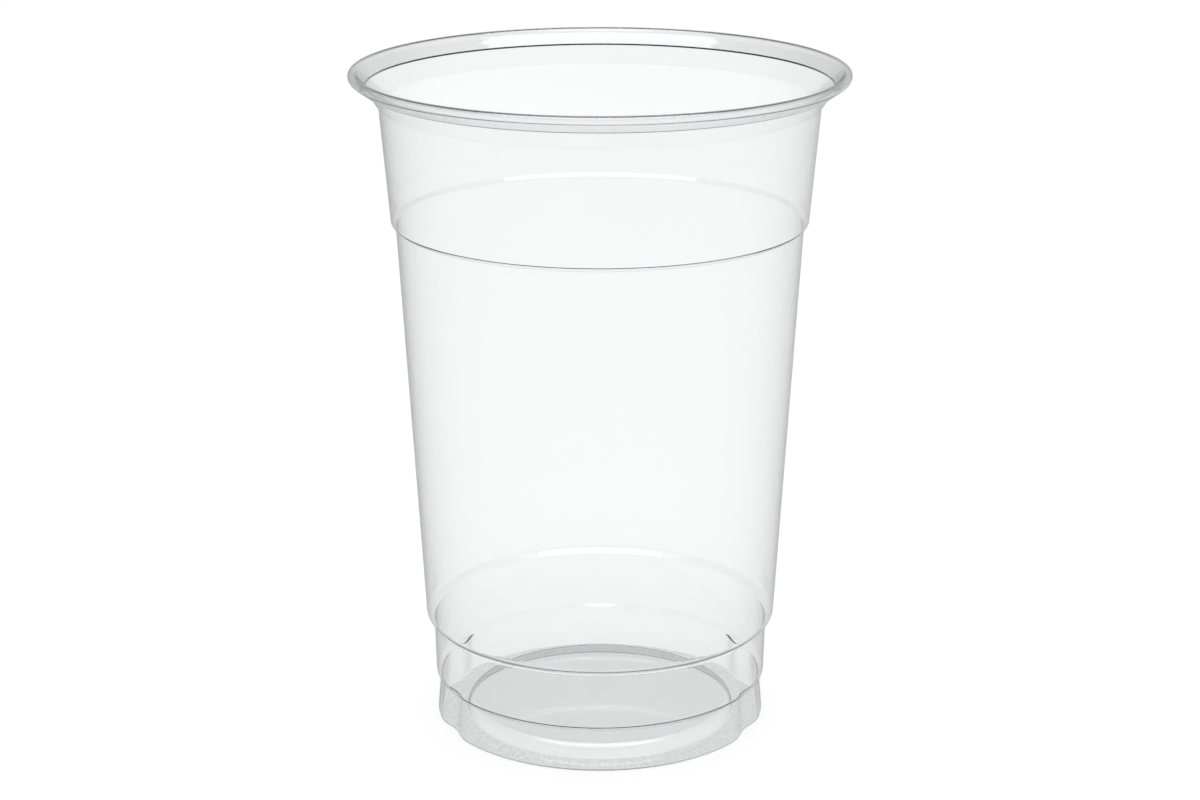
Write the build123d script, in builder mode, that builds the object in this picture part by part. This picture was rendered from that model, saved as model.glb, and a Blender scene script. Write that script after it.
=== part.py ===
from build123d import *
import os
from math import asin, atan, cos, degrees, hypot, radians, sin

# Plastic disposable cup, one thermoformed sheet of clear PET. Millimetres, +Z up.
# The origin is the centre of the ring that the cup stands on.
os.makedirs("parts", exist_ok=True)

# --- Driving dimensions: radii and heights are those of the sheet's outer face ---
wall = 0.3  # sheet thickness

rim_radius = 49.0  # widest point of the rolled rim
rim_height = 133.9  # top of the rim above the table
roll_radius = 0.92  # bend of the rim where the sheet turns over
flap_slope = 36.0  # degrees below level that the turned flap runs back at
roll_gap = 0.15  # air between the flap's edge and the collar
neck_radius = 43.2  # where the collar starts to flare out to the rim
neck_height = 127.0

ledge_height = 103.3  # shallow step near the top of the wall
ledge_rise = 0.8
ledge_radius = 41.25  # wall just above the ledge
body_top_radius = 40.3  # wall just below the ledge
body_bottom_radius = 35.6
body_height = 22.0  # bottom end of the long wall

band_top_radius = 34.1  # plain band between the long wall and the foot
band_top_height = 20.7
band_bottom_radius = 33.8
foot_step_rise = 0.9  # from the foot up to the band

foot_top_radius = 32.9
foot_height = 8.5  # top of the fluted foot
foot_radius = 33.6  # outer edge of the ring that the cup stands on
foot_ring_width = 6.2  # from that edge in to the riser of the bottom panel
bottom_rise = 2.6  # underside of the bottom panel above the table
riser_lean = 0.7  # how far the riser leans in over its height

neck_bend = 1.0
ledge_bend = 0.5
shoulder_bend = 1.4
step_bend = 0.6
foot_bend = 0.6
panel_bend = 1.6

flute_offset = 25.0  # degrees from the left and right sides to each groove
flute_radius = 14.0  # roundness of a groove's bottom
flute_depth = 1.1
flute_shoulder = 0.5  # rounding where a groove meets the foot

# --- Where the collar's straight flare touches the roll, and how long the flap can be ---
roll_bend = roll_radius - wall
roll_x = rim_radius - roll_radius
roll_z = rim_height - roll_radius
reach = hypot(roll_x - neck_radius, roll_z - neck_height)
flare_angle = degrees(asin((roll_z - neck_height) / reach) + asin(roll_bend / reach))
flare_end = (roll_x - roll_bend * sin(radians(flare_angle)), roll_z + roll_bend * cos(radians(flare_angle)))
turn_left = radians(flare_angle - flap_slope)
flap_length = (roll_bend * (1 + cos(turn_left)) - roll_gap) / sin(turn_left)

# --- Outer face of the sheet, from the middle of the bottom out and up to the roll ---
riser_radius = foot_radius - foot_ring_width
skin = [
    (0, bottom_rise),
    (riser_radius - riser_lean, bottom_rise),
    (riser_radius, 0),
    (foot_radius, 0),
    (foot_top_radius, foot_height),
    (band_bottom_radius, foot_height + foot_step_rise),
    (band_top_radius, band_top_height),
    (body_bottom_radius, body_height),
    (body_top_radius, ledge_height),
    (ledge_radius, ledge_height + ledge_rise),
    (neck_radius, neck_height),
    flare_end,
]
bends = [
    panel_bend,
    foot_bend,
    foot_bend,
    step_bend,
    step_bend,
    step_bend,
    shoulder_bend,
    ledge_bend,
    ledge_bend,
    neck_bend,
]

# --- Grooves of the foot: each is pressed by a round post that leans in with the foot's wall ---
flute_lean = degrees(atan((foot_radius - foot_top_radius) / foot_height))
flute_axis = foot_radius - flute_depth + flute_radius
flute_spots = [
    Location((0, 0, 0), (0, 0, side + turned)) * Location((flute_axis, 0, 0), (0, -flute_lean, 0))
    for side in (0, 180)
    for turned in (-flute_offset, flute_offset)
]

with BuildPart() as flute_posts:
    with Locations(flute_spots):
        Cylinder(flute_radius, 2 * foot_height)
    split(bisect_by=Plane.XY.offset(foot_height), keep=Keep.BOTTOM)

# --- Sheet that the posts push in: blocks round the posts, trimmed to the foot's outside ---
with BuildPart() as flute_walls:
    with BuildSketch(Plane.XZ):
        with BuildLine():
            FilletPolyline(skin[2:7], radius=bends[2:5])
            Polyline(skin[6], (0, band_top_height), (0, 0), skin[2])
        make_face()
    revolve(axis=Axis.Z)
    split(bisect_by=Plane.XY.offset(foot_height + wall), keep=Keep.BOTTOM)
    with Locations(flute_spots):
        Cylinder(flute_radius + wall, 3 * foot_height, mode=Mode.INTERSECT)

# --- The cup ---
with BuildPart() as cup:
    with BuildSketch(Plane.XZ):
        with BuildLine():
            FilletPolyline(skin, radius=bends)
            offset(amount=wall, side=Side.LEFT)
        make_face()
        with BuildLine():
            turn = flare_angle + 180 - flap_slope
            bend_inside = CenterArc((roll_x, roll_z), roll_bend, flap_slope - 90, turn)
            bend_outside = CenterArc((roll_x, roll_z), roll_radius, flap_slope - 90, turn)
            flap_inside = PolarLine(bend_inside @ 0, flap_length, 180 + flap_slope)
            flap_outside = PolarLine(bend_outside @ 0, flap_length, 180 + flap_slope)
            Line(flap_inside @ 1, flap_outside @ 1)
            Line(bend_inside @ 1, bend_outside @ 1)
        make_face()
    revolve(axis=Axis.Z)
    add(flute_walls)
    add(flute_posts, mode=Mode.SUBTRACT)
    groove_edges = cup.edges(Select.LAST).filter_by_position(Axis.Z, foot_height / 4, 3 * foot_height / 4)
    fillet(groove_edges, radius=flute_shoulder)

cup.part.label = "cup"
export_step(cup.part, "parts/cup.step")
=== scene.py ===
import math
import bmesh
import bpy
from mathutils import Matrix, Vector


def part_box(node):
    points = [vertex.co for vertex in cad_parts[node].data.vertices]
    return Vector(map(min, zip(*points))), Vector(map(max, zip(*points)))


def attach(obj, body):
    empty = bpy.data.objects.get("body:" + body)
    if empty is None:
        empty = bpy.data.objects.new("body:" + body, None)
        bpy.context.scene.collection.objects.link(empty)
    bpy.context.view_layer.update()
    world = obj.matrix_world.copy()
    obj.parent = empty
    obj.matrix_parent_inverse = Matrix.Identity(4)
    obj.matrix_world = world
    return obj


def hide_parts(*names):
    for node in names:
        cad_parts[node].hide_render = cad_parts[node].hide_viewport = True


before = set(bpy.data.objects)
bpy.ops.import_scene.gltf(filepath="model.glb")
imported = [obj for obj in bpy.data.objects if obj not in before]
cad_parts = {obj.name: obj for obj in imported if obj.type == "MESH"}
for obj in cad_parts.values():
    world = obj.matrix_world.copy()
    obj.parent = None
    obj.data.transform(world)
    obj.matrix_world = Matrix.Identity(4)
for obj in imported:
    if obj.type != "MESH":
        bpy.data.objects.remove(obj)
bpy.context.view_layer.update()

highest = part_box("cup")[1]
print("frame loaded")

# Sizes of the cup in millimetres. Rim radius and rim height come from the frame.
cup = {
    "wall": 0.3,  # sheet thickness
    "rimRadius": highest[0] * 1000,
    "rimHeight": highest[2] * 1000,
    "rollRadius": 0.92,  # bend where the sheet turns over at the rim
    "flapSlope": 36.0,  # degrees below level that the turned flap runs back at
    "rollGap": 0.15,  # air between the flap and the collar
    "neck": (43.2, 127.0, 1.0),  # radius, height and bend, as for the corners below
    "ledge": [(40.3, 103.3, 0.5), (41.25, 104.1, 0.5)],
    "shoulder": [(34.1, 20.7, 0.6), (35.6, 22.0, 1.4)],
    "footStep": [(32.9, 8.5, 0.6), (33.8, 9.4, 0.6)],
    "foot": [(27.4, 0.0, 0.6), (33.6, 0.0, 0.6)],
    "panel": (26.7, 2.6, 1.6),  # raised bottom
    "arcStep": 12.0,  # degrees between the points of a bend
    "longRun": 1.5,  # straight runs longer than this get points between their ends
    "runEnd": 0.3,  # from the end of a long run to its nearest added point
    "segments": 300,  # round the cup
    "grooveDepth": 1.1,
    "grooveOffset": 25.0,  # degrees from the left and right sides to each groove
    "grooveWidth": 11.0,  # degrees from a groove's middle to where it fades out
    "grooveTop": 8.4,  # height where the grooves end under the step
    "grooveFade": 0.5,
    "ringStart": 1.0,  # from the ring's inner edge out to where the grooves begin to bite
    "ringFade": 4.0,  # from there out to their full depth
    "mergeGap": 0.001,
    "flatArea": 1e-8,  # square millimetres, the largest face thrown away as flat
}


def linearColour(hexText):
    channels = [int(hexText[i:i + 2], 16) / 255 for i in (1, 3, 5)]
    return [c / 12.92 if c <= 0.04045 else ((c + 0.055) / 1.055) ** 2.4 for c in channels] + [1.0]


def addNode(tree, kind, settings=None, **links):
    node = tree.nodes.new(kind)
    for name, value in (settings or {}).items():
        if name[0].islower():
            setattr(node, name, value)
        else:
            node.inputs[name].default_value = value
    for name, source in links.items():
        index = int(name[2:]) if name.startswith("in") and name[2:].isdigit() else name.replace("_", " ")
        if isinstance(source, (int, float)):
            node.inputs[index].default_value = source
        else:
            tree.links.new(source, node.inputs[index])
    return node


# A line of straight runs and bends, each of its points with the heading there.
def bentLine(corners):
    points = [((corners[0][0], corners[0][1]), None)]
    for before, corner, after in zip(corners, corners[1:], corners[2:]):
        headIn = math.atan2(corner[1] - before[1], corner[0] - before[0])
        headOut = math.atan2(after[1] - corner[1], after[0] - corner[0])
        turn = (headOut - headIn + math.pi) % (2 * math.pi) - math.pi
        cut = corner[2] * math.tan(abs(turn) / 2)
        side = math.copysign(1, turn)
        start = (corner[0] - cut * math.cos(headIn), corner[1] - cut * math.sin(headIn))
        centre = (start[0] - side * corner[2] * math.sin(headIn),
                  start[1] + side * corner[2] * math.cos(headIn))
        steps = max(3, round(abs(math.degrees(turn)) / cup["arcStep"]))
        for step in range(steps + 1):
            heading = headIn + turn * step / steps
            points.append(((centre[0] + side * corner[2] * math.sin(heading),
                            centre[1] - side * corner[2] * math.cos(heading)), heading))
    return points


def sheetSection():
    rollBend = cup["rollRadius"] - cup["wall"]
    rollX = cup["rimRadius"] - cup["rollRadius"]
    rollZ = cup["rimHeight"] - cup["rollRadius"]
    neckX, neckZ, _ = cup["neck"]
    reach = math.hypot(rollX - neckX, rollZ - neckZ)
    flare = math.asin((rollZ - neckZ) / reach) + math.asin(rollBend / reach)
    slope = math.radians(cup["flapSlope"])
    left = flare - slope
    flapLength = (rollBend * (1 + math.cos(left)) - cup["rollGap"]) / math.sin(left)
    flareEnd = (rollX - rollBend * math.sin(flare), rollZ + rollBend * math.cos(flare))
    corners = [(0, cup["panel"][1], 0), cup["panel"], *cup["foot"], *cup["footStep"], *cup["shoulder"],
               *cup["ledge"], cup["neck"], (*flareEnd, 0)]
    points = bentLine(corners)
    points[0] = (points[0][0], 0.0)
    turn = flare + math.pi - slope
    steps = round(math.degrees(turn) / cup["arcStep"])
    for step in range(steps + 1):
        heading = flare - turn * step / steps
        onRoll = (rollX - rollBend * math.sin(heading), rollZ + rollBend * math.cos(heading))
        points.append((onRoll, heading))
    end, heading = points[-1]
    flapEnd = (end[0] + flapLength * math.cos(heading), end[1] + flapLength * math.sin(heading))
    points.append((flapEnd, heading))
    outside = []
    for (point, heading), (nextPoint, nextHeading) in zip(points, points[1:]):
        outside.append((point, heading))
        gap = math.hypot(nextPoint[0] - point[0], nextPoint[1] - point[1])
        if gap > cup["longRun"]:  # a point close to each end keeps the run's shading flat
            for share in (cup["runEnd"] / gap, 0.25, 0.5, 0.75, 1 - cup["runEnd"] / gap):
                outside.append(((point[0] + (nextPoint[0] - point[0]) * share,
                                 point[1] + (nextPoint[1] - point[1]) * share), heading))
    outside.append(points[-1])
    wall = cup["wall"]
    inside = [((x - wall * math.sin(h), z + wall * math.cos(h)), h) for (x, z), h in outside]
    return [p for p, _ in outside], [p for p, _ in inside]


def sectionObject():
    outside, inside = sheetSection()
    loop = outside + inside[::-1]
    mesh = bpy.data.meshes.new("cupSection")
    edges = [(i, i + 1) for i in range(len(loop) - 1)]
    mesh.from_pydata([(x / 1000, 0, z / 1000) for x, z in loop], edges, [])
    piece = bpy.data.objects.new("cupSection", mesh)
    bpy.context.collection.objects.link(piece)
    return piece


# Turns the section round the axis, and presses the foot's grooves into it.
def turningTree(material):
    tree = bpy.data.node_groups.new("turnedCup", "GeometryNodeTree")
    tree.interface.new_socket("Geometry", in_out="INPUT", socket_type="NodeSocketGeometry")
    tree.interface.new_socket("Geometry", in_out="OUTPUT", socket_type="NodeSocketGeometry")
    tree.interface.new_socket("Segments", in_out="INPUT", socket_type="NodeSocketInt")
    for name in ("Groove Depth", "Groove Offset", "Groove Width", "Groove Top", "Groove Fade"):
        tree.interface.new_socket(name, in_out="INPUT", socket_type="NodeSocketFloat")
    given = addNode(tree, "NodeGroupInput").outputs

    # The section's points become rows of a grid: one column for each step round the cup.
    count = addNode(tree, "GeometryNodeAttributeDomainSize", {"component": "MESH"}, in0=given["Geometry"])
    grid = addNode(tree, "GeometryNodeMeshGrid", {"Size X": 1.0, "Size Y": 1.0})
    tree.links.new(count.outputs["Point Count"], grid.inputs["Vertices Y"])
    columns = addNode(tree, "ShaderNodeMath", {"operation": "ADD"}, in0=given["Segments"], in1=1)
    tree.links.new(columns.outputs[0], grid.inputs["Vertices X"])
    index = addNode(tree, "GeometryNodeInputIndex").outputs[0]
    middle = addNode(tree, "ShaderNodeMath", {"operation": "ADD"}, in0=index, in1=0.5)
    steps = addNode(tree, "ShaderNodeMath", {"operation": "DIVIDE"}, in0=middle.outputs[0],
                    in1=count.outputs["Point Count"])
    column = addNode(tree, "ShaderNodeMath", {"operation": "FLOOR"}, in0=steps.outputs[0]).outputs[0]
    first = addNode(tree, "ShaderNodeMath", {"operation": "MULTIPLY"}, in0=column,
                    in1=count.outputs["Point Count"])
    row = addNode(tree, "ShaderNodeMath", {"operation": "SUBTRACT"}, in0=index, in1=first.outputs[0])
    place = addNode(tree, "GeometryNodeInputPosition").outputs[0]
    sample = addNode(tree, "GeometryNodeSampleIndex", {"data_type": "FLOAT_VECTOR", "domain": "POINT"},
                     Geometry=given["Geometry"], Value=place, Index=row.outputs[0])
    radius, _, height = addNode(tree, "ShaderNodeSeparateXYZ", in0=sample.outputs[0]).outputs
    turned = addNode(tree, "ShaderNodeMath", {"operation": "MULTIPLY"}, in0=column, in1=2 * math.pi)
    angle = addNode(tree, "ShaderNodeMath", {"operation": "DIVIDE"}, in0=turned.outputs[0],
                    in1=given["Segments"]).outputs[0]
    cosine = addNode(tree, "ShaderNodeMath", {"operation": "COSINE"}, in0=angle).outputs[0]
    sine = addNode(tree, "ShaderNodeMath", {"operation": "SINE"}, in0=angle).outputs[0]

    # Angle to the nearest groove: folded into one quarter, because left, right, front and back are alike.
    across = addNode(tree, "ShaderNodeMath", {"operation": "ABSOLUTE"}, in0=sine)
    within = addNode(tree, "ShaderNodeMath", {"operation": "MINIMUM"}, in0=across.outputs[0], in1=1.0)
    quarter = addNode(tree, "ShaderNodeMath", {"operation": "ARCSINE"}, in0=within.outputs[0])
    aside = addNode(tree, "ShaderNodeMath", {"operation": "SUBTRACT"}, in0=quarter.outputs[0],
                    in1=given["Groove Offset"])
    away = addNode(tree, "ShaderNodeMath", {"operation": "ABSOLUTE"}, in0=aside.outputs[0])
    share = addNode(tree, "ShaderNodeMath", {"operation": "DIVIDE", "use_clamp": True}, in0=away.outputs[0],
                    in1=given["Groove Width"])
    halfTurn = addNode(tree, "ShaderNodeMath", {"operation": "MULTIPLY"}, in0=share.outputs[0], in1=math.pi)
    wave = addNode(tree, "ShaderNodeMath", {"operation": "COSINE"}, in0=halfTurn.outputs[0])
    lifted = addNode(tree, "ShaderNodeMath", {"operation": "ADD"}, in0=wave.outputs[0], in1=1.0)
    press = addNode(tree, "ShaderNodeMath", {"operation": "MULTIPLY"}, in0=lifted.outputs[0], in1=0.5)

    # The grooves fade out under the step, and on the ring towards its inner edge.
    top = addNode(tree, "ShaderNodeMath", {"operation": "ADD"}, in0=given["Groove Top"],
                  in1=given["Groove Fade"])
    drop = addNode(tree, "ShaderNodeMath", {"operation": "SUBTRACT"}, in0=top.outputs[0], in1=height)
    below = addNode(tree, "ShaderNodeMath", {"operation": "DIVIDE", "use_clamp": True}, in0=drop.outputs[0],
                    in1=given["Groove Fade"])
    ringStart = (cup["foot"][0][0] + cup["ringStart"]) / 1000
    past = addNode(tree, "ShaderNodeMath", {"operation": "SUBTRACT"}, in0=radius, in1=ringStart)
    outer = addNode(tree, "ShaderNodeMath", {"operation": "DIVIDE", "use_clamp": True}, in0=past.outputs[0],
                    in1=cup["ringFade"] / 1000)
    upright = addNode(tree, "ShaderNodeMath", {"operation": "MULTIPLY"}, in0=press.outputs[0],
                      in1=below.outputs[0])
    inward = addNode(tree, "ShaderNodeMath", {"operation": "MULTIPLY"}, in0=outer.outputs[0],
                     in1=given["Groove Depth"])
    depth = addNode(tree, "ShaderNodeMath", {"operation": "MULTIPLY"}, in0=upright.outputs[0],
                    in1=inward.outputs[0])
    pressed = addNode(tree, "ShaderNodeMath", {"operation": "SUBTRACT"}, in0=radius, in1=depth.outputs[0])
    sideways = addNode(tree, "ShaderNodeMath", {"operation": "MULTIPLY"}, in0=pressed.outputs[0],
                       in1=cosine)
    forward = addNode(tree, "ShaderNodeMath", {"operation": "MULTIPLY"}, in0=pressed.outputs[0], in1=sine)
    corner = addNode(tree, "ShaderNodeCombineXYZ", X=sideways.outputs[0], Y=forward.outputs[0], Z=height)
    placed = addNode(tree, "GeometryNodeSetPosition", Geometry=grid.outputs[0], Position=corner.outputs[0])
    merged = addNode(tree, "GeometryNodeMergeByDistance", {"Distance": cup["mergeGap"] / 1000},
                     Geometry=placed.outputs[0])
    real = addNode(tree, "GeometryNodeRealizeInstances", Geometry=merged.outputs[0])
    finish = addNode(tree, "GeometryNodeSetMaterial", Geometry=real.outputs[0])
    finish.inputs["Material"].default_value = material
    addNode(tree, "NodeGroupOutput", Geometry=finish.outputs[0])
    return tree


def makeCup(material):
    section = sectionObject()
    modifier = section.modifiers.new("turn", "NODES")
    modifier.node_group = turningTree(material)
    wanted = {
        "Segments": cup["segments"],
        "Groove Depth": cup["grooveDepth"] / 1000,
        "Groove Offset": math.radians(cup["grooveOffset"]),
        "Groove Width": math.radians(cup["grooveWidth"]),
        "Groove Top": cup["grooveTop"] / 1000,
        "Groove Fade": cup["grooveFade"] / 1000,
    }
    for item in modifier.node_group.interface.items_tree:
        if item.in_out == "INPUT" and item.name in wanted:
            modifier[item.identifier] = wanted[item.name]
    turned = section.evaluated_get(bpy.context.evaluated_depsgraph_get())
    mesh = bpy.data.meshes.new_from_object(turned)
    bpy.data.objects.remove(section)
    shape = bmesh.new()
    shape.from_mesh(mesh)
    bmesh.ops.remove_doubles(shape, verts=shape.verts, dist=cup["mergeGap"] / 1000)
    flat = [f for f in shape.faces if f.calc_area() < cup["flatArea"] / 1e6]
    bmesh.ops.delete(shape, geom=flat, context="FACES_ONLY")
    bmesh.ops.holes_fill(shape, edges=[e for e in shape.edges if e.is_boundary])
    bmesh.ops.recalc_face_normals(shape, faces=shape.faces)
    for face in shape.faces:
        face.smooth = True
    shape.to_mesh(mesh)
    shape.free()
    mesh.name = "cupSheet"
    piece = bpy.data.objects.new("cupSheet", mesh)
    bpy.context.collection.objects.link(piece)
    print("cup turned:", len(mesh.polygons), "faces")
    return piece


# What the sheet looks like: clear PET, thermoformed over a smooth mould.
sheet = {
    "colour": "#FCFDFD",
    "roughness": 0.015,
    "ior": 1.575,
    "drawLine": 2.5,  # millimetres round the wall between the faint lines of the drawn sheet
    "drawLength": 100.0,  # millimetres along the wall, so that the lines stand upright
    "drawDepth": 0.0012,  # millimetres, too shallow to see except as a waver in the reflections
}


# Clear PET, thermoformed: glossy both sides, with faint upright lines where the sheet was drawn.
def clearPet():
    material = bpy.data.materials.new("clearPetThermoformed")
    material.use_nodes = True
    tree = material.node_tree
    tree.nodes.clear()
    place = addNode(tree, "ShaderNodeTexCoord").outputs["Object"]
    perMetre = 1000 / sheet["drawLine"]
    upright = 1000 / sheet["drawLength"]
    stretched = addNode(tree, "ShaderNodeMapping", {"Scale": (perMetre, perMetre, upright)}, Vector=place)
    lines = addNode(tree, "ShaderNodeTexNoise", {"Scale": 1.0, "Detail": 2.0, "Roughness": 0.5},
                    Vector=stretched.outputs[0])
    bump = addNode(tree, "ShaderNodeBump", {"Strength": 1.0, "Distance": sheet["drawDepth"] / 1000},
                   Height=lines.outputs["Fac"])
    shader = addNode(tree, "ShaderNodeBsdfPrincipled", {
        "Base Color": linearColour(sheet["colour"]),
        "Roughness": sheet["roughness"],
        "IOR": sheet["ior"],
        "Transmission Weight": 1.0,
    }, Normal=bump.outputs[0])
    addNode(tree, "ShaderNodeOutputMaterial", Surface=shader.outputs[0])
    return material


# The studio in metres: white table and backdrop, dark ceiling, and a painted reflection tone, dark on the
# left and paler on the right, that only reflections see.
studio = {
    "floorRadius": 4.0,
    "floorSides": 96,
    "floorColour": "#B9B9B9",
    "floorGlow": 0.80,  # the table is also lit from below
    "leftCard": 0.03,  # brightness of the painted reflection tone on the left and on the right
    "rightCard": 0.30,
    "cardShare": 0.5,  # how much of what the sheet reflects is painted reflection tone; the rest is the white room
    "tableBlend": 0.35,  # either side of the middle, where the table's painted reflection tone runs from dark to pale
    "roomBlend": 0.6,  # the same for the backdrop's painted reflection tone, as the sine of the bearing
    "ceiling": 0.06,
    "whiteUpTo": 0.20,  # sine of the height above the horizon where the backdrop ends
    "darkFrom": 0.50,
    "softboxSize": 1.6,
    "softboxHeight": 1.6,
    "softboxWatts": 14.0,
    "lens": 83.0,  # millimetres
    "cameraPlace": (0.0, -0.533, 0.2303),
    "cameraDown": 17.1,  # degrees below level
}


def paintedReflectionTone(tree):
    # Painted reflection tone: dark on the left and paler on the right, by the place in the room.
    place = addNode(tree, "ShaderNodeNewGeometry").outputs["Position"]
    side = addNode(tree, "ShaderNodeSeparateXYZ", Vector=place).outputs[0]
    return addNode(tree, "ShaderNodeMapRange", {
        "interpolation_type": "SMOOTHSTEP",
        "From Min": -studio["tableBlend"], "From Max": studio["tableBlend"],
        "To Min": studio["leftCard"], "To Max": studio["rightCard"]}, Value=side).outputs[0]


def reflected(tree):
    # The share of painted reflection tone for light that has bounced off the sheet, 0 for light that went
    # straight or through it.
    path = addNode(tree, "ShaderNodeLightPath")
    return addNode(tree, "ShaderNodeMath", {"operation": "MINIMUM"}, in0=path.outputs["Glossy Depth"],
                   in1=studio["cardShare"]).outputs[0]


def whiteFloor():
    material = bpy.data.materials.new("whiteStudioFloor")
    material.use_nodes = True
    tree = material.node_tree
    tree.nodes.clear()
    cloth = addNode(tree, "ShaderNodeBsdfDiffuse", {"Color": linearColour(studio["floorColour"])})
    glow = addNode(tree, "ShaderNodeEmission", {"Strength": studio["floorGlow"]})
    paint = addNode(tree, "ShaderNodeAddShader", in0=cloth.outputs[0], in1=glow.outputs[0])
    # Painted reflection: to light that has bounced off the sheet, the floor shows a tone dark on the left
    # and paler on the right.
    card = addNode(tree, "ShaderNodeEmission", Strength=paintedReflectionTone(tree))
    mix = addNode(tree, "ShaderNodeMixShader", in0=reflected(tree),
                  in1=paint.outputs[0], in2=card.outputs[0])
    addNode(tree, "ShaderNodeOutputMaterial", Surface=mix.outputs[0])
    return material


def makeFloor():
    mesh = bpy.data.meshes.new("studioFloor")
    shape = bmesh.new()
    bmesh.ops.create_circle(shape, cap_ends=True, segments=studio["floorSides"],
                            radius=studio["floorRadius"])
    shape.to_mesh(mesh)
    shape.free()
    floor = bpy.data.objects.new("studioFloor", mesh)
    bpy.context.collection.objects.link(floor)
    mesh.materials.append(whiteFloor())


def makeWorld():
    world = bpy.data.worlds.new("studioWorld")
    bpy.context.scene.world = world
    world.use_nodes = True
    tree = world.node_tree
    tree.nodes.clear()
    direction = addNode(tree, "ShaderNodeTexCoord").outputs["Generated"]
    side, _, up = addNode(tree, "ShaderNodeSeparateXYZ", Vector=direction).outputs
    backdrop = addNode(tree, "ShaderNodeMapRange", {
        "interpolation_type": "SMOOTHSTEP", "From Min": studio["whiteUpTo"], "From Max": studio["darkFrom"],
        "To Min": 1.0, "To Max": studio["ceiling"]}, Value=up).outputs[0]
    # Painted reflection: to light that has bounced off the sheet, the sky shows the same dark-to-pale tone
    # by bearing.
    card = addNode(tree, "ShaderNodeMapRange", {
        "interpolation_type": "SMOOTHSTEP",
        "From Min": -studio["roomBlend"], "From Max": studio["roomBlend"],
        "To Min": studio["leftCard"], "To Max": studio["rightCard"]}, Value=side).outputs[0]
    shown = addNode(tree, "ShaderNodeMix", {"data_type": "FLOAT"},
                    in0=reflected(tree), in2=backdrop, in3=card)
    path = addNode(tree, "ShaderNodeLightPath")
    level = addNode(tree, "ShaderNodeMix", {"data_type": "FLOAT"}, in0=path.outputs["Is Camera Ray"],
                    in2=shown.outputs[0], in3=1.0)
    white = addNode(tree, "ShaderNodeBackground", Strength=level.outputs[0])
    addNode(tree, "ShaderNodeOutputWorld", Surface=white.outputs[0])


def makeLamps():
    lamp = bpy.data.lights.new("topSoftbox", "AREA")
    lamp.shape = "DISK"
    lamp.size = studio["softboxSize"]
    lamp.energy = studio["softboxWatts"]
    softbox = bpy.data.objects.new("topSoftbox", lamp)
    softbox.location = (0.0, 0.0, studio["softboxHeight"])
    bpy.context.collection.objects.link(softbox)


def makeCamera():
    lens = bpy.data.cameras.new("frontCamera")
    lens.lens = studio["lens"]
    camera = bpy.data.objects.new("frontCamera", lens)
    camera.location = studio["cameraPlace"]
    camera.rotation_euler = (math.radians(90 - studio["cameraDown"]), 0.0, 0.0)
    bpy.context.collection.objects.link(camera)
    bpy.context.scene.camera = camera


bpy.context.scene.view_settings.view_transform = "Standard"
makeCamera()
makeFloor()
makeWorld()
makeLamps()
print("studio ready")

cupSheet = makeCup(clearPet())
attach(cupSheet, "root")
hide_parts("cup")
print("cup ready")
